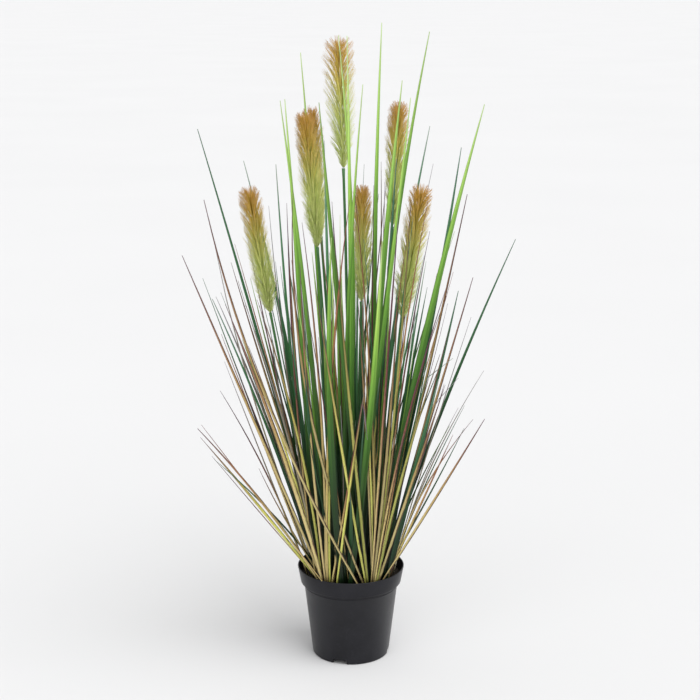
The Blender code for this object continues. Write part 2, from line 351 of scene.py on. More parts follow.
# %% Lines through the solids
def corners_along(node, count):
    """The solid's own corners, sorted from root to tip, in groups of count."""
    points = {tuple(round(part, 6) for part in vert.co) for vert in node.data.vertices}
    points = [Vector(point) for point in points]
    low = min(points, key=lambda point: point.z)
    high = max(points, key=lambda point: point.z)
    along = (high - low).normalized()
    points.sort(key=lambda point: point.dot(along))
    return [points[i:i + count] for i in range(0, len(points) - count + 1, count)]


def middle(points):
    return sum(points, Vector()) / len(points)


def smooth_at(values, share):
    """A value on the smooth curve through a list of evenly spaced values, share from 0 to 1."""
    place = min(max(share, 0.0), 1.0) * (len(values) - 1)
    start = min(int(place), len(values) - 2)
    t = place - start
    before = values[max(start - 1, 0)]
    here = values[start]
    after = values[start + 1]
    beyond = values[min(start + 2, len(values) - 1)]
    bend = (after - before) * 0.5
    bend_after = (beyond - here) * 0.5
    rise = after - here
    squared = rise * 3 - bend * 2 - bend_after
    cubed = bend + bend_after - rise * 2
    return here + bend * t + squared * t ** 2 + cubed * t ** 3


class Line:
    """The middle line of a blade's solid, the direction across it and its half width."""

    def __init__(self, node):
        groups = corners_along(node, 4)
        self.centres = [middle(group) for group in groups]
        widest = max(groups, key=lambda group: max((a - b).length for a in group for b in group))
        spans = [a - b for a in widest for b in widest]
        self.side = max(spans, key=lambda span: span.length).normalized()
        if self.side.x < 0:
            self.side = -self.side
        self.half_widths = []
        for group in groups:
            reach = [corner.dot(self.side) for corner in group]
            self.half_widths.append((max(reach) - min(reach)) / 2)

    def at(self, share):
        return smooth_at(self.centres, share)

    def half_width(self, share):
        return max(smooth_at(self.half_widths, share), 0.0)


lime_nodes = sorted(name for name in nodes if name.startswith("lime_blade"))
teal_nodes = sorted(name for name in nodes if name.startswith("teal_blade"))
speckled_nodes = sorted(name for name in nodes if name.startswith("speckled_blade"))
tuft_nodes = sorted(name for name in nodes if name.startswith("thin_blade_tuft"))
lines = {name: Line(nodes[name]) for name in lime_nodes + teal_nodes + speckled_nodes + tuft_nodes}
tallest = max(line.at(1).z for line in lines.values())
print(len(lines), "blade lines read; the tallest reaches", round(tallest, 3))


# %% [markdown]
# ## One blade
# A grid of faces is the quickest way to a strip: a few faces across, so that it can be folded along
# its middle like a real blade, and many along it. Every vertex of the flat grid is moved to its
# place beside the line. A Solidify modifier gives the thin sheet its thickness afterwards.

# %% Blade maker
SHEET_THICKNESS = 0.35 * MM
BROAD_COLUMNS = 4
BROAD_STEPS = 26
dice = random.Random(11)


def add_strip(mesh, at, side, half_width, fold, finish, tone, columns=BROAD_COLUMNS, steps=BROAD_STEPS):
    """Add one folded strip to a bmesh.

    at gives the middle line and half_width the half width at a share of the length.
    """
    material_number = list(blade_finishes).index(finish)
    made = bmesh.ops.create_grid(mesh, x_segments=columns, y_segments=steps, size=0.5, calc_uvs=True)
    tone_layer = mesh.verts.layers.float["tone"]
    shift_layer = mesh.verts.layers.float["shift"]
    shift = dice.random()
    for vert in made["verts"]:
        across = vert.co.x * 2.0
        share = vert.co.y + 0.5
        here = at(share)
        tangent = (at(share + 0.01) - at(share - 0.01)).normalized()
        facing = side.cross(tangent).normalized()
        flat = tangent.cross(facing).normalized()
        wide = half_width(share)
        fold_depth = math.sin(fold) * wide * (1.0 - abs(across))
        vert.co = here + flat * across * wide * math.cos(fold) - facing * fold_depth
        vert[tone_layer] = tone
        vert[shift_layer] = shift
        for face in vert.link_faces:
            face.material_index = material_number
            face.smooth = True


def new_sheet():
    """A bmesh ready for strips: a UV map and two numbers for each vertex."""
    mesh = bmesh.new()
    mesh.loops.layers.uv.new("UVMap")
    mesh.verts.layers.float.new("tone")
    mesh.verts.layers.float.new("shift")
    return mesh


def mesh_data(name, mesh):
    """The finished mesh of a bmesh, which is freed."""
    data = bpy.data.meshes.new(name)
    mesh.to_mesh(data)
    mesh.free()
    return data


def new_object(name, data):
    thing = bpy.data.objects.new(name, data)
    bpy.context.scene.collection.objects.link(thing)
    return thing


def place_piece(name, data, materials, replaced):
    """Make an object that stands for CAD nodes and rides on the one body."""
    for material in materials:
        data.materials.append(material)
    piece = new_object(name, data)
    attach(piece, "root")
    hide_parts(*replaced)
    return piece


def place_blades(name, mesh, slot, node_name):
    """Place a sheet of strips as one piece and give it the thickness of a moulded strip."""
    piece = place_piece(name, mesh_data(name, mesh), blade_finishes.values(), [node_name])
    sheet = piece.modifiers.new("Sheet thickness", "SOLIDIFY")
    sheet.thickness = SHEET_THICKNESS
    sheet.offset = 0.0


# %% Broad and outlying blades, one piece each
# A folded blade is slimmer than its flat solid by this share.
SLIM = {"lime": 0.92, "teal": 0.8, "speckled": 0.75}


def single_blade(node_name, finish):
    """One folded strip on its solid's line."""
    line = lines[node_name]
    slim = SLIM[finish]
    mesh = new_sheet()
    fold = dice.uniform(0.25, 0.55)
    tone = dice.random()
    add_strip(mesh, line.at, line.side, lambda share: line.half_width(share) * slim, fold, finish, tone)
    place_blades(node_name.replace("_blade_", "_leaf_"), mesh, finish + "_blade", node_name)


for finish, names in (("lime", lime_nodes), ("teal", teal_nodes), ("speckled", speckled_nodes)):
    for node_name in names:
        single_blade(node_name, finish)
print(len(lime_nodes) + len(teal_nodes) + len(speckled_nodes), "single blades")


# %% [markdown]
# ## Thin blades placed one by one
# Between the broad blades stand more than two hundred thin ones. The ones that show most, in front
# and at the outline, are listed one by one: where each is rooted in the pot, where its tip ends, and
# how far it bows to one side on the way, all in centimetres, with its width in millimetres. Each
# list belongs to one tuft of the model.

# %% Listed thin blades
CM = 0.01
Thin = namedtuple("Thin", "finish root tip bow width")
PLACED = {
    "01": (
        Thin("burgundy", (-6.0, -2.0), (-17.5, -6.0, 40.0), 0.9, 2.6),
        Thin("grey", (-6.0, -1.5), (-17.0, -4.0, 43.5), 0.0, 2.0),
        Thin("copper", (-3.2, -6.2), (-19.5, -12.0, 37.0), -0.2, 2.0),
    ),
    "02": (
        Thin("speckled", (-3.7, -5.5), (-16.5, -7.0, 52.0), 0.7, 6.0),
        Thin("yellow", (-3.9, -5.0), (-13.5, -7.5, 46.5), 0.6, 4.2),
        Thin("grey", (-4.3, -3.5), (-14.0, -5.0, 51.5), 0.9, 3.2),
    ),
    "03": (
        Thin("yellow", (-4.0, -4.5), (-12.5, -4.0, 52.0), 1.3, 3.8),
        Thin("grey", (-4.6, -1.0), (-11.0, 0.0, 64.0), -0.6, 2.2),
        Thin("teal", (-4.3, -2.0), (-9.5, -1.0, 56.0), 0.0, 3.4),
        Thin("grey", (-4.0, 0.0), (-7.0, 1.0, 56.0), 0.0, 2.4),
    ),
    "04": (
        Thin("burgundy", (-0.8, -3.0), (-2.5, -3.0, 65.0), 0.3, 3.0),
        Thin("copper", (-0.8, -5.0), (-4.0, -5.0, 61.0), 0.8, 3.2),
    ),
    "05": (
        Thin("teal", (3.0, -2.5), (1.7, -3.0, 60.0), 0.8, 3.4),
        Thin("burgundy", (2.7, -2.0), (3.0, -2.0, 67.0), 0.0, 2.6),
        Thin("burgundy", (3.4, -2.0), (4.5, -2.0, 67.5), 0.0, 2.8),
    ),
    "06": (
        Thin("burgundy", (2.8, -6.1), (6.1, -11.0, 65.7), 0.0, 4.0),
        Thin("yellow", (3.2, -5.9), (7.6, -11.0, 66.3), 0.5, 3.6),
        Thin("burgundy", (3.7, -5.4), (10.1, -9.5, 62.1), -0.6, 3.2),
        Thin("burgundy", (3.2, -6.3), (12.4, -9.5, 55.0), -0.9, 3.8),
        Thin("yellow", (3.4, -6.2), (11.6, -10.0, 46.0), -0.5, 4.0),
        Thin("copper", (4.1, -4.0), (10.0, -6.0, 65.5), -0.9, 3.0),
    ),
    "07": (
        Thin("teal", (3.8, -3.0), (9.7, -4.0, 58.0), -0.8, 3.6),
        Thin("teal", (4.8, -2.0), (10.0, -3.0, 57.0), -0.5, 4.6),
        Thin("grey", (3.8, 0.0), (11.0, 1.0, 69.5), -1.2, 2.2),
    ),
    "08": (
        Thin("speckled", (5.2, -4.0), (12.8, -9.0, 49.0), -0.2, 4.2),
        Thin("grey", (5.8, 0.0), (16.3, -1.0, 49.0), -0.2, 1.8),
        Thin("grey", (6.0, -0.5), (18.0, -3.0, 42.0), -1.3, 1.8),
    ),
    "09": (
        Thin("speckled", (3.6, -5.4), (12.3, -10.5, 42.0), 0.1, 4.4),
        Thin("burgundy", (5.4, -3.0), (11.4, -6.0, 38.5), -0.1, 3.0),
        Thin("speckled", (5.6, -2.0), (16.4, -6.0, 36.0), -1.6, 2.4),
        Thin("grey", (6.0, -1.0), (14.7, -2.0, 36.5), -0.9, 1.8),
    ),
    "10": (
        Thin("copper", (-3.2, -6.0), (-0.1, -10.5, 66.6), -1.1, 4.6),
        Thin("yellow", (-2.9, -6.0), (-2.3, -9.5, 53.1), -0.3, 4.2),
        Thin("speckled", (-3.5, -5.8), (-6.3, -8.5, 63.1), 0.9, 4.0),
        Thin("yellow", (2.2, -6.3), (-4.5, -10.5, 54.6), -0.2, 4.2),
        Thin("yellow", (2.4, -6.3), (-1.9, -11.0, 59.3), -0.1, 4.8),
        Thin("speckled", (3.0, -6.0), (0.8, -9.5, 54.4), 0.2, 3.4),
        Thin("copper", (3.3, -5.9), (0.5, -10.5, 66.9), 0.8, 3.8),
        Thin("yellow", (3.0, -6.0), (1.4, -9.0, 53.0), 0.3, 3.4),
        Thin("speckled", (3.0, -6.1), (6.1, -10.5, 54.6), 0.4, 4.2),
        Thin("speckled", (2.0, -6.4), (-7.4, -9.0, 67.3), -3.1, 4.0),
        Thin("yellow", (-2.0, -6.3), (2.0, -9.5, 42.4), -0.1, 4.0),
        Thin("speckled", (-3.4, -5.8), (-6.6, -8.5, 57.9), -0.5, 4.2),
        Thin("burgundy", (-4.8, -4.2), (-8.4, -3.0, 62.5), -0.7, 3.0),
        Thin("speckled", (3.6, -5.4), (7.0, -8.0, 34.5), 0.0, 3.0),
    ),
}

# A few blades are creased near the top and fall away: the share of the length where each is
# creased comes first, then the place of its tip after the crease.
Creased = namedtuple("Creased", "finish root tip bow width share end")
CREASED = {
    "02": (Creased("grey", (-5.0, 0.0), (-17.2, 1.0, 52.0), -0.8, 2.4, 0.98, (-18.8, 1.0, 60.5)),),
    "04": (Creased("burgundy", (-2.7, -6.0), (1.7, -9.0, 40.5), 0.1, 4.4, 0.97, (2.2, -8.8, 34.0)),),
    "07": (Creased("teal", (4.5, -4.0), (10.2, -6.0, 42.5), -0.4, 2.6, 0.97, (13.6, -6.0, 44.5)),),
    "08": (Creased("grey", (5.6, -1.0), (11.5, -3.0, 38.0), -0.3, 2.0, 0.97, (14.6, -3.0, 41.0)),),
}


# %% [markdown]
# ## Curves for the thin blades
# A thin blade rises straight out of the pot and leans over towards its tip. Three points are enough
# for that: the root, the tip and a middle point that sits nearly above the root. The same curve
# shapes the solids of the model.

# %% Curve and width of a thin blade
BLADE_ROOT = 0.1183
LEAN_SHARE = 0.3
THIN_COLUMNS = 2
THIN_STEPS = 16
THIN_TIP = 0.2 * MM
THIN_ROOT = 0.7
FULL_WIDTH_AT = 0.35
TAPER_POWER = 1.7


def curve(root, tip, bow):
    """The line of a blade from a root and a tip in centimetres, as a function of the share along it."""
    foot = Vector((root[0] * CM, root[1] * CM, BLADE_ROOT))
    end = Vector(tip) * CM
    bend = (foot + end) / 2
    bend.x += 2 * bow * CM
    bend.y = foot.y + LEAN_SHARE * (end.y - foot.y)
    return lambda share: foot * (1 - share) ** 2 + bend * (2 * share * (1 - share)) + end * share ** 2


def creased_curve(blade):
    """A blade's curve up to its crease, then straight to its end."""
    rising = curve(blade.root, blade.tip, blade.bow)
    crease = rising(blade.share)
    end = Vector(blade.end) * CM
    rise = (crease - rising(0)).length
    fall = (end - crease).length
    top = rise / (rise + fall)

    def place(share):
        if share < top:
            return rising(share / top * blade.share)
        return crease.lerp(end, (share - top) / (1 - top))

    return place


def thin_width(width):
    """Half width at a share of the length: narrow root, full third, long taper to the tip."""
    def half(share):
        if share < FULL_WIDTH_AT:
            growth = math.sin(math.pi / 2 * max(share, 0.0) / FULL_WIDTH_AT)
            swell = THIN_ROOT + (1.0 - THIN_ROOT) * growth
        else:
            swell = 1.0 - ((min(share, 1.0) - FULL_WIDTH_AT) / (1.0 - FULL_WIDTH_AT)) ** TAPER_POWER
        return THIN_TIP + (width * MM / 2 - THIN_TIP) * swell

    return half


def thin_strip(mesh, line, width, finish, turn):
    side = Vector((math.cos(turn), math.sin(turn), 0.0))
    fold = dice.uniform(0.2, 0.6)
    tone = dice.random()
    add_strip(mesh, line, side, thin_width(width), fold, finish, tone, THIN_COLUMNS, THIN_STEPS)


# %% [markdown]
# ## Filling in the tufts
# The rest of the thin blades, and the short dark leaves deep inside the clump, follow a rule: each
# stands somewhere on the pot and fans outwards, the further from the middle the more it leans. A
# seeded random generator gives each its own place, length and finish, and the same ones each time
# the script runs.

# %% Tufts
FAN_BLADES = 8
SPARSE_FAN = 4
SPARSE_TUFTS = ("01", "08", "09")
INNER_LEAVES = 6
ROOT_REACH = 5.4
FAN_MIX = ("speckled", "teal", "yellow", "burgundy", "teal", "lime", "copper", "teal", "lime", "grey")
INNER_MIX = ("teal", "lime", "teal", "teal", "lime")


def about(reach):
    """A number up to reach to either side of nought."""
    return dice.uniform(-reach, reach)


def in_pot(x, y):
    """Pull a root in centimetres back inside the pot."""
    reach = max(math.hypot(x, y) / ROOT_REACH, 1.0)
    return x / reach, y / reach


def fan_blade(mesh, line, number):
    """A blade that follows its tuft's line, moved a little to one side and shorter, in centimetres."""
    root = line.at(0) / CM
    tip = line.at(1) / CM
    start = in_pot(root.x + about(2.2), root.y + about(1.8))
    length = dice.uniform(0.6, 1.0)
    spread = about(2.6)
    depth = about(2.5)
    end = (
        root.x + (tip.x - root.x) * length + spread,
        root.y + (tip.y - root.y) * length + depth,
        root.z + (tip.z - root.z) * length,
    )
    kind = FAN_MIX[number % len(FAN_MIX)]
    thin_strip(mesh, curve(start, end, about(0.8)), dice.uniform(2.0, 4.6), kind, about(1.2))


def inner_leaf(mesh, number):
    """A short dark leaf deep inside the clump, in centimetres."""
    angle = dice.uniform(0.0, math.tau)
    reach = math.sqrt(dice.random()) * ROOT_REACH
    start = (reach * math.cos(angle), reach * math.sin(angle))
    height = dice.uniform(24.0, 58.0)
    lean = 1.0 + height / 50.0
    end = (start[0] * lean + about(2), start[1] * lean + about(2), height)
    kind = INNER_MIX[number % len(INNER_MIX)]
    thin_strip(mesh, curve(start, end, about(0.5)), dice.uniform(5.0, 9.0), kind, about(0.9))


thin_count = 0
for tuft, node_name in enumerate(tuft_nodes):
    mesh = new_sheet()
    label = node_name[-2:]
    for blade in PLACED.get(label, ()):
        line = curve(blade.root, blade.tip, blade.bow)
        thin_strip(mesh, line, blade.width, blade.finish, about(0.5))
        thin_count += 1
    for blade in CREASED.get(label, ()):
        thin_strip(mesh, creased_curve(blade), blade.width, blade.finish, about(0.3))
        thin_count += 1
    for number in range(SPARSE_FAN if label in SPARSE_TUFTS else FAN_BLADES):
        fan_blade(mesh, lines[node_name], tuft * 3 + number)
        thin_count += 1
    for number in range(INNER_LEAVES):
        inner_leaf(mesh, tuft + number)
        thin_count += 1
    place_blades(node_name.replace("thin_blade_tuft", "thin_blades"), mesh, "thin_blade", node_name)
print(thin_count, "thin blades in", len(tuft_nodes), "tufts")


# %% [markdown]
# ## Plume stalks
# A stalk is a bare rod about four millimetres thick. A short cone primitive with cuts along it is
# bent onto the line read from the solid. It ends in a short, slightly wider plug that the plume sits on.

# %% Stalk finish
def stalk_finish():
    finish = Finish("green stalk", Specular_IOR_Level=0.4)
    place = finish.place()
    stretched = finish.add("ShaderNodeMapping", {}, {"Vector": place, "Scale": (900.0, 900.0, 30.0)})
    streaks = finish.noise(stretched, 1.0, 3.0)
    height = finish.height()
    tint = finish.ramp(streaks, ((0.25, colour(38, 88, 46)), (0.75, colour(78, 128, 70))))
    # Painted shade: low down, inside the clump, the stalk is darkened towards a deeper green.
    deep = finish.mix(1.0 - height.step(0.12, 0.4), tint, colour(30, 62, 34))
    return finish.set(Base_Color=deep, Roughness=0.4 + streaks * 0.2, Normal=finish.bump(streaks, 0.1 * MM))


# %% Stalks
STALK_SIDES = 12
STALK_CUTS = 29
PLUG_SHARE = 0.97
ROD_SHARE = 0.82
HEAD_SIDES = 8
green_stalk = stalk_finish()


def cut_along(mesh, cuts):
    """Cut the long edges of a cone that is one unit tall."""
    long_edges = [edge for edge in mesh.edges if abs(edge.verts[0].co.z - edge.verts[1].co.z) > 0.5]
    bmesh.ops.subdivide_edges(mesh, edges=long_edges, cuts=cuts, use_grid_fill=True)


def bend_tube(mesh, at, radius, sides, cuts):
    """A closed tube along a line: a cone with cuts along it, every vertex moved beside the line."""
    bmesh.ops.create_cone(
        mesh, cap_ends=True, cap_tris=False, segments=sides, radius1=1.0, radius2=1.0, depth=1.0
    )
    cut_along(mesh, cuts)
    for vert in mesh.verts:
        share = vert.co.z + 0.5
        tangent = (at(share + 0.02) - at(share - 0.02)).normalized()
        right = tangent.cross(Vector((0.0, 1.0, 0.0))).normalized()
        front = tangent.cross(right)
        wide = radius(share)
        vert.co = at(share) + (right * vert.co.x + front * vert.co.y) * wide
    for face in mesh.faces:
        face.smooth = True
    bmesh.ops.recalc_face_normals(mesh, faces=mesh.faces)


def ring_line(node):
    """Centres and radii of the rings of a tube's solid, root first."""
    rings = corners_along(node, HEAD_SIDES)
    centres = [middle(ring) for ring in rings]
    radii = [max((corner - centre).length for corner in ring) for ring, centre in zip(rings, centres)]
    return centres, radii


stalk_nodes = sorted(name for name in nodes if name.startswith("plume_stalk"))
for node_name in stalk_nodes:
    centres, radii = ring_line(nodes[node_name])
    mesh = bmesh.new()
    bend_tube(
        mesh,
        lambda share: smooth_at(centres, share),
        lambda share: radii[0] * (1.0 if share > PLUG_SHARE else ROD_SHARE),
        STALK_SIDES,
        STALK_CUTS,
    )
    name = node_name.replace("plume_stalk", "stalk")
    place_piece(name, mesh_data(name, mesh), [green_stalk], [node_name])
print(len(stalk_nodes), "stalks")


# %% [markdown]
# ## Plume heads
# A plume is a bottle brush of plastic fibre: bunches of fine bristles set all round a wire, each
# pointing up and out and bending outwards at its tip. One bristle is modelled once, from a small
# three-sided cone, and stamped about two thousand times into the mesh of each plume. Each bristle
# runs from the wire to a place near the solid's own outline, so the plume keeps the shape of its
# solid. Three numbers on each vertex, its place along the head, its place along its bristle and a
# tone, let the finish run from pale green at the foot to golden brown at the top, with darker tips.

# %% Bristle finish
def bristle_finish():
    finish = Finish("plume bristle", Specular_IOR_Level=0.15)
    along_head = finish.attribute("along_head")
    along_bristle = finish.attribute("along_bristle")
    tone = finish.attribute("tone")
    place = along_head + (tone - 0.5) * 0.16
    body = finish.ramp(place, (
        (0.0, colour(232, 246, 164)),
        (0.48, colour(234, 246, 152)),
        (0.6, colour(238, 228, 124)),
        (0.72, colour(240, 208, 98)),
        (0.86, colour(240, 198, 94)),
        (1.0, colour(230, 182, 96)),
    ))
    tips = finish.ramp(place, (
        (0.0, colour(220, 230, 166)),
        (0.5, colour(212, 212, 134)),
        (0.66, colour(204, 174, 106)),
        (0.85, colour(194, 146, 92)),
        (1.0, colour(180, 126, 88)),
    ))
    tint = finish.mix(along_bristle.step(0.5, 1.0) * 0.85, body, tips)
    shade = finish.mix((1.0 - tone) * 0.5, tint, (0.36, 0.34, 0.2, 1.0), "MULTIPLY")
    return finish.set(Base_Color=shade, Roughness=0.55 + tone * 0.2)


# %% The bristle that is stamped
def bristle_template(sides=3, cuts=2):
    """A unit bristle along +Z: a slim cone of unit root radius."""
    mesh = bmesh.new()
    bmesh.ops.create_cone(
        mesh, cap_ends=True, cap_tris=True, segments=sides, radius1=1.0, radius2=0.3, depth=1.0
    )
    cut_along(mesh, cuts)
    bmesh.ops.translate(mesh, verts=mesh.verts, vec=(0.0, 0.0, 0.5))
    bmesh.ops.triangulate(mesh, faces=mesh.faces)
    data = mesh_data("bristle template", mesh)
    points = np.array([vert.co for vert in data.vertices])
    faces = np.array([tuple(polygon.vertices) for polygon in data.polygons])
    bpy.data.meshes.remove(data)
    return points, faces


bristle_points, bristle_faces = bristle_template()
print("one bristle has", len(bristle_faces), "triangles")


# %% Heads
BUNCHES = 340
OPEN_BUNCHES = 190
BUNCH_BRISTLES = 7
CORE_BRISTLES = 260
OPEN_HEADS = ("plume_head_1",)
GOLDEN_ANGLE = math.radians(137.508)
BRISTLE_RADIUS = 0.27 * MM
BRISTLE_RISE = 30 * MM
BRISTLE_SAG = 0.14
CROWN = 0.95
LAST_FOOT = 0.79
LAST_CORE_FOOT = 0.82
SHORT_FOOT = 0.12
WIRE_RADIUS = 0.8 * MM


def bristle_places(node_name, keep):
    """The foot share, angle, reach and stretch of every bristle."""
    bunches = OPEN_BUNCHES if node_name in OPEN_HEADS else BUNCHES
    for bunch in range(bunches):
        foot = LAST_FOOT * (bunch + keep.uniform(0, 1)) / bunches
        angle = bunch * GOLDEN_ANGLE + keep.uniform(-0.3, 0.3)
        reach = keep.uniform(0.76, 1.0)
        stretch = keep.uniform(0.8, 1.05)
        for _ in range(BUNCH_BRISTLES):
            yield (
                foot + keep.uniform(-0.006, 0.006),
                angle + keep.uniform(-0.08, 0.08),
                reach * keep.uniform(0.86, 1.0),
                stretch * keep.uniform(0.85, 1.05),
            )
    for _ in range(CORE_BRISTLES):
        foot = keep.uniform(0.0, LAST_CORE_FOOT)
        yield foot, keep.uniform(0, math.tau), keep.uniform(0.05, 0.5), keep.uniform(0.8, 1.05)


def build_head(node_name):
    """Stamp all the bristles of one head into one mesh."""
    centres, radii = ring_line(nodes[node_name])
    keep = random.Random(node_name)
    head_length = (centres[-1] - centres[0]).length
    places, heads, alongs, tones = [], [], [], []
    for foot, angle, reach, stretch in bristle_places(node_name, keep):
        rise = BRISTLE_RISE * stretch / head_length
        crown = CROWN + (1.0 - CROWN) * (1.0 - reach)
        tip = min(foot + rise * (0.5 + 0.5 * min(foot / SHORT_FOOT, 1.0)), crown)
        root = smooth_at(centres, foot)
        ahead = (smooth_at(centres, tip) - root).normalized()
        sideways = ahead.cross(Vector((math.cos(angle), math.sin(angle), 0.0))).normalized()
        outward = sideways.cross(ahead)
        end = smooth_at(centres, tip) + outward * smooth_at(radii, tip) * reach
        root = root + outward * WIRE_RADIUS
        whole = end - root
        right = whole.cross(outward).normalized()
        front = right.cross(whole).normalized()
        radius = BRISTLE_RADIUS * keep.uniform(0.8, 1.2)
        x = bristle_points[:, 0:1] * radius
        y = bristle_points[:, 1:2] * radius
        z = bristle_points[:, 2:3]
        sag = (z * z - z) * BRISTLE_SAG * whole.length * reach
        spine = np.array(root) + z * np.array(whole)
        places.append(spine + (x + sag) * np.array(front) + y * np.array(right))
        heads.append(foot + z[:, 0] * (tip - foot))
        alongs.append(z[:, 0])
        tones.append(np.full(len(z), keep.random()))
    count = len(places)
    steps = (np.arange(count) * len(bristle_points))[:, None, None]
    faces = (bristle_faces[None] + steps).reshape(-1, 3)
    data = bpy.data.meshes.new(node_name.replace("plume_head", "plume"))
    data.from_pydata(np.concatenate(places), [], faces)
    for name, values in (("along_head", heads), ("along_bristle", alongs), ("tone", tones)):
        layer = data.attributes.new(name, "FLOAT", "POINT")
        layer.data.foreach_set("value", np.concatenate(values).astype(np.float32))
    data.shade_smooth()
    return data


head_nodes = sorted(name for name in nodes if name.startswith("plume_head"))
plume_bristle = bristle_finish()
for node_name in head_nodes:
    data = build_head(node_name)
    place_piece(data.name, data, [plume_bristle], [node_name])
print(len(head_nodes), "plumes; the last has", len(data.polygons), "triangles")


# %% [markdown]
# ## The pot
# A nursery pot is one thin moulded shell: a tapered body, a stepped-out collar and a rolled rim. Its
# cross-section is drawn once as an outline and spun about the axis, which gives a wall that is
# closed all round. A shallow channel runs round under the floor, inside the foot ring, and the four
# drain notches are cut through that ring with boxes.

# %% Pot finish
def pot_finish():
    finish = Finish("black pot plastic", Specular_IOR_Level=0.22)
    place = finish.place()
    cloud = finish.noise(place, 34.0, 4.0)
    grain = finish.noise(place, 1500.0, 2.0)
    rubbed = finish.noise(place, 210.0, 3.0).step(0.56, 0.75)
    tint = finish.ramp(cloud, ((0.3, colour(24, 24, 28)), (0.7, colour(32, 32, 37))))
    worn = finish.mix(rubbed * 0.14, tint, colour(60, 60, 66))
    rough = 0.26 + cloud * 0.14 + rubbed * 0.08
    return finish.set(Base_Color=worn, Roughness=rough, Normal=finish.bump(grain, 0.05 * MM, 0.5))


# %% Pot shell
POT_STEPS = 144
WALL = 1.5 * MM
COLLAR_HEIGHT = 23 * MM
COLLAR_TAPER = 4 * MM
COLLAR_STEP = 4.5 * MM
BASE_ROUNDING = 2.5 * MM
BASE_SHARE = 0.72
COLLAR_LIP = 0.7 * MM
UNDERCUT = 0.6 * MM
NOTCH_WIDTH = 20 * MM
NOTCH_HEIGHT = 6.5 * MM
NOTCH_DEPTH = 8 * MM
NOTCH_AZIMUTHS = (-107, -8, 73, 172)
FOOT_RING = 4 * MM
CHANNEL_WIDTH = 13 * MM
CHANNEL_HEIGHT = 7.5 * MM
CHANNEL_DRAFT = 1 * MM

# The bead: how far each of its points lies below the collar, and how far it stands out.
BEAD = ((5.0 * MM, 0.0), (5.4 * MM, 0.35 * MM), (6.0 * MM, 0.35 * MM), (6.4 * MM, 0.0))

pot_low, pot_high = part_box("pot")
rim_radius = (pot_high.x - pot_low.x) / 2
pot_height = pot_high.z
collar_foot = pot_height - COLLAR_HEIGHT
collar_foot_radius = rim_radius - COLLAR_TAPER
body_top_radius = collar_foot_radius - COLLAR_STEP
base_radius = rim_radius * BASE_SHARE
body_slope = (body_top_radius - base_radius) / collar_foot
channel_outer = base_radius - FOOT_RING
channel_inner = channel_outer - CHANNEL_WIDTH
raised_floor = CHANNEL_HEIGHT + WALL
raised_radius = base_radius + body_slope * raised_floor - WALL


def round_corner(centre, radius, start, end, count=5):
    """Points of an arc in the outline, angles in degrees from straight outwards."""
    points = []
    for i in range(count):
        angle = math.radians(start + (end - start) * i / (count - 1))
        points.append((centre[0] + radius * math.cos(angle), centre[1] + radius * math.sin(angle)))
    return points


def spin_outline(mesh, outline, steps):
    """Spin an outline of (radius, height) points about Z and close it on the axis."""
    verts = [mesh.verts.new((radius, 0.0, height)) for radius, height in outline]
    edges = [mesh.edges.new(pair) for pair in zip(verts, verts[1:])]
    bmesh.ops.spin(
        mesh, geom=verts + edges, cent=(0, 0, 0), axis=(0, 0, 1), angle=math.tau, steps=steps, use_merge=True
    )
    bmesh.ops.remove_doubles(mesh, verts=mesh.verts, dist=0.01 * MM)
    bmesh.ops.recalc_face_normals(mesh, faces=mesh.faces)
    for face in mesh.faces:
        face.smooth = True


def pot_outline():
    inside = [
        (0.0, WALL),
        (channel_inner - WALL, WALL),
        (channel_inner - WALL + CHANNEL_DRAFT, raised_floor),
        (raised_radius, raised_floor),
        (body_top_radius - WALL, collar_foot),
        (collar_foot_radius - WALL, collar_foot + WALL),
    ]
    rim = round_corner((rim_radius - WALL / 2, pot_height - WALL / 2), WALL / 2, 180, 0, 9)
    lip_centre = (collar_foot_radius - COLLAR_LIP, collar_foot + COLLAR_LIP)
    collar_lip = round_corner(lip_centre, COLLAR_LIP, 0, -90)
    under_collar = [(body_top_radius + UNDERCUT, collar_foot), (body_top_radius, collar_foot - UNDERCUT)]
    bead = [(body_top_radius - drop * body_slope + lift, collar_foot - drop) for drop, lift in BEAD]
    foot_radius = base_radius + body_slope * BASE_ROUNDING - BASE_ROUNDING
    foot = round_corner((foot_radius, BASE_ROUNDING), BASE_ROUNDING, 0, -90)
    channel = [
        (channel_outer, 0.0),
        (channel_outer - CHANNEL_DRAFT, CHANNEL_HEIGHT),
        (channel_inner + CHANNEL_DRAFT, CHANNEL_HEIGHT),
        (channel_inner, 0.0),
        (0.0, 0.0),
    ]
    return inside + rim + collar_lip + under_collar + bead + foot + channel


def cut_notches(piece):
    """Cut the drain notches and keep the result as a plain mesh."""
    cutters = []
    for azimuth in NOTCH_AZIMUTHS:
        angle = math.radians(azimuth)
        mesh = bmesh.new()
        bmesh.ops.create_cube(mesh, size=1.0)
        bmesh.ops.scale(mesh, verts=mesh.verts, vec=(2 * NOTCH_DEPTH, NOTCH_WIDTH, 2 * NOTCH_HEIGHT))
        bmesh.ops.translate(mesh, verts=mesh.verts, vec=(base_radius, 0.0, 0.0))
        bmesh.ops.rotate(mesh, verts=mesh.verts, cent=(0, 0, 0), matrix=Matrix.Rotation(angle, 3, "Z"))
        cutter = new_object("notch cutter", mesh_data("notch cutter", mesh))
        cut = piece.modifiers.new("Notch", "BOOLEAN")
        cut.object = cutter
        cutters.append(cutter)
    evaluated = piece.evaluated_get(bpy.context.evaluated_depsgraph_get())
    data = bpy.data.meshes.new_from_object(evaluated)
    piece.modifiers.clear()
    piece.data = data
    for cutter in cutters:
        bpy.data.objects.remove(cutter)


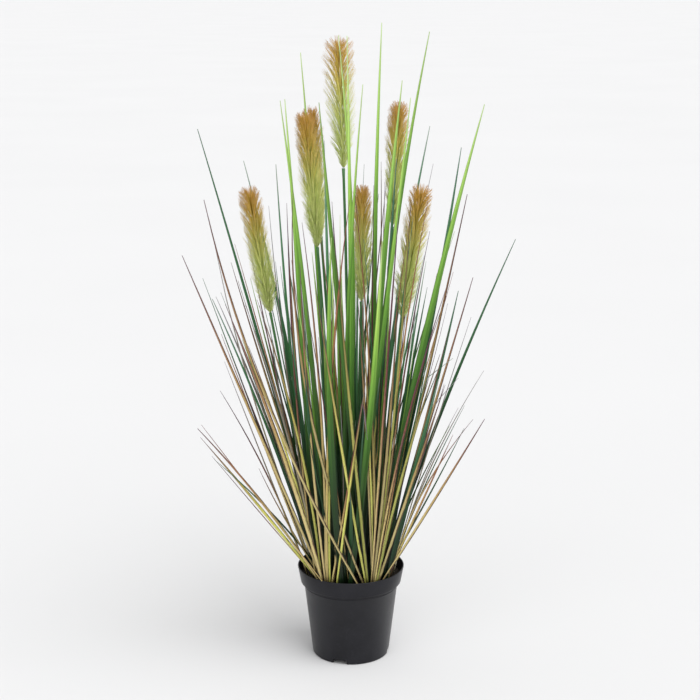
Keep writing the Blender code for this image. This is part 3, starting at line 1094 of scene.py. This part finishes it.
mesh = bmesh.new()
spin_outline(mesh, pot_outline(), POT_STEPS)
pot = place_piece("nursery_pot", mesh_data("nursery_pot", mesh), [pot_finish()], ["pot"])
cut_notches(pot)
pot.data.set_sharp_from_angle(angle=math.radians(40))
print("pot of", len(pot.data.polygons), "faces")


# %% [markdown]
# ## The filler
# The pot is filled to just under its rim with a dark, crumbly block that holds every root. Only its
# top shows between the blades. It is spun like the pot and then roughened by moving its vertices up
# and down with a noise pattern.

# %% Filler
def filler_finish():
    finish = Finish("dark filler", Specular_IOR_Level=0.2)
    place = finish.place()
    crumbs = finish.noise(place, 420.0, 5.0)
    tint = finish.ramp(crumbs, ((0.3, colour(14, 12, 10)), (0.7, colour(44, 36, 28))))
    return finish.set(Base_Color=tint, Roughness=0.8 + crumbs * 0.15, Normal=finish.bump(crumbs, 0.8 * MM))


FILLER_RINGS = 26
FILLER_EDGE = 115 * MM
CLEARANCE = 0.5 * MM
CRUMB_HEIGHT = 1.6 * MM
CRUMBS_PER_METRE = 160.0
low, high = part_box("filler_plug")
filler_radius = (high.x - low.x) / 2
filler_outline = [(0.0, high.z)]
for ring in range(1, FILLER_RINGS + 1):
    share = ring / FILLER_RINGS
    filler_outline.append((filler_radius * share, high.z + (FILLER_EDGE - high.z) * share * share))
filler_floor = raised_floor + CLEARANCE
filler_outline += [
    (body_top_radius - 2 * WALL, collar_foot),
    (raised_radius - CLEARANCE, filler_floor),
    (channel_inner - WALL, filler_floor),
    (channel_inner - 2 * WALL, low.z),
    (0.0, low.z),
]
mesh = bmesh.new()
spin_outline(mesh, filler_outline, POT_STEPS)
for vert in mesh.verts:
    if vert.co.z > FILLER_EDGE - 1 * MM and vert.co.xy.length < filler_radius - 2 * MM:
        vert.co.z += CRUMB_HEIGHT * noise.fractal(vert.co * CRUMBS_PER_METRE, 1.0, 2.0, 4)
place_piece("filler", mesh_data("filler", mesh), [filler_finish()], ["filler_plug"])
print("filler top at", round(high.z, 3))


# %% [markdown]
# ## Floor, light and camera
# The plant stands on a seamless pale floor in soft light. A pale world, brighter behind the plant,
# lights it from all round, and two very wide suns add a gentle key from the front right and a weaker
# fill from the front, so the shadow falls softly behind the pot and to its left.

# %% Floor
def floor_finish():
    finish = Finish("pale studio floor", Roughness=0.9, Specular_IOR_Level=0.1)
    place = finish.place()
    darker = (0.695, 0.695, 0.698, 1.0)
    lighter = (0.709, 0.709, 0.712, 1.0)
    tint = finish.ramp(finish.noise(place, 0.8, 2.0), ((0.3, darker), (0.7, lighter)))
    return finish.set(Base_Color=tint)


mesh = bmesh.new()
bmesh.ops.create_grid(mesh, x_segments=1, y_segments=1, size=150.0)
floor = new_object("floor", mesh_data("floor", mesh))
floor.data.materials.append(floor_finish())
floor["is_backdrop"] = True

# %% World
FRONT_SKY = (0.38, 0.382, 0.39, 1.0)
BACK_SKY = (0.74, 0.74, 0.74, 1.0)
scene = bpy.context.scene
scene.view_settings.view_transform = "Standard"
world = bpy.data.worlds.new("soft studio")
world.use_nodes = True
sky = Graph(world.node_tree)
direction = sky.add("ShaderNodeTexCoord", {}, output="Generated")
depth = sky.add("ShaderNodeSeparateXYZ", {}, {0: direction}, output="Y")
tint = sky.mix(depth.step(-0.4, 0.5), FRONT_SKY, BACK_SKY)
world.node_tree.links.new(tint.socket, world.node_tree.nodes["Background"].inputs["Color"])
scene.world = world


# %% Suns
def wide_sun(name, strength, spread, azimuth, elevation):
    """A sun with a very wide disc, shining from an azimuth and elevation in degrees."""
    light = bpy.data.lights.new(name, "SUN")
    light.energy = strength
    light.angle = math.radians(spread)
    lamp = new_object(name, light)
    turn = math.radians(azimuth)
    tilt = math.radians(elevation)
    towards = Vector((math.cos(turn) * math.cos(tilt), math.sin(turn) * math.cos(tilt), math.sin(tilt)))
    lamp.rotation_euler = towards.to_track_quat("Z", "Y").to_euler()


wide_sun("key", strength=2.3, spread=60, azimuth=-38, elevation=52)
wide_sun("fill", strength=1.0, spread=70, azimuth=-100, elevation=40)
print("floor, world and two suns")


# %% Camera
CAMERA_DISTANCE = 2.036
CAMERA_HEIGHT = 0.934
CAMERA_SIDE = -0.0012
CAMERA_TILT = math.radians(13.6)
view = bpy.data.cameras.new("camera")
view.lens = 78.7
view.sensor_width = 36.0
camera = new_object("camera", view)
camera.location = (CAMERA_SIDE, -CAMERA_DISTANCE, CAMERA_HEIGHT)
camera.rotation_euler = (math.pi / 2 - CAMERA_TILT, 0.0, 0.0)
scene.camera = camera
print("camera", round(CAMERA_DISTANCE, 2), "m in front of the pot")


visual_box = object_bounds()
sizes = {
    "cad": [[float(part) for part in corner] for corner in cad_box],
    "visual": [[float(part) for part in corner] for corner in visual_box],
}
print("visual box:", sizes["visual"])
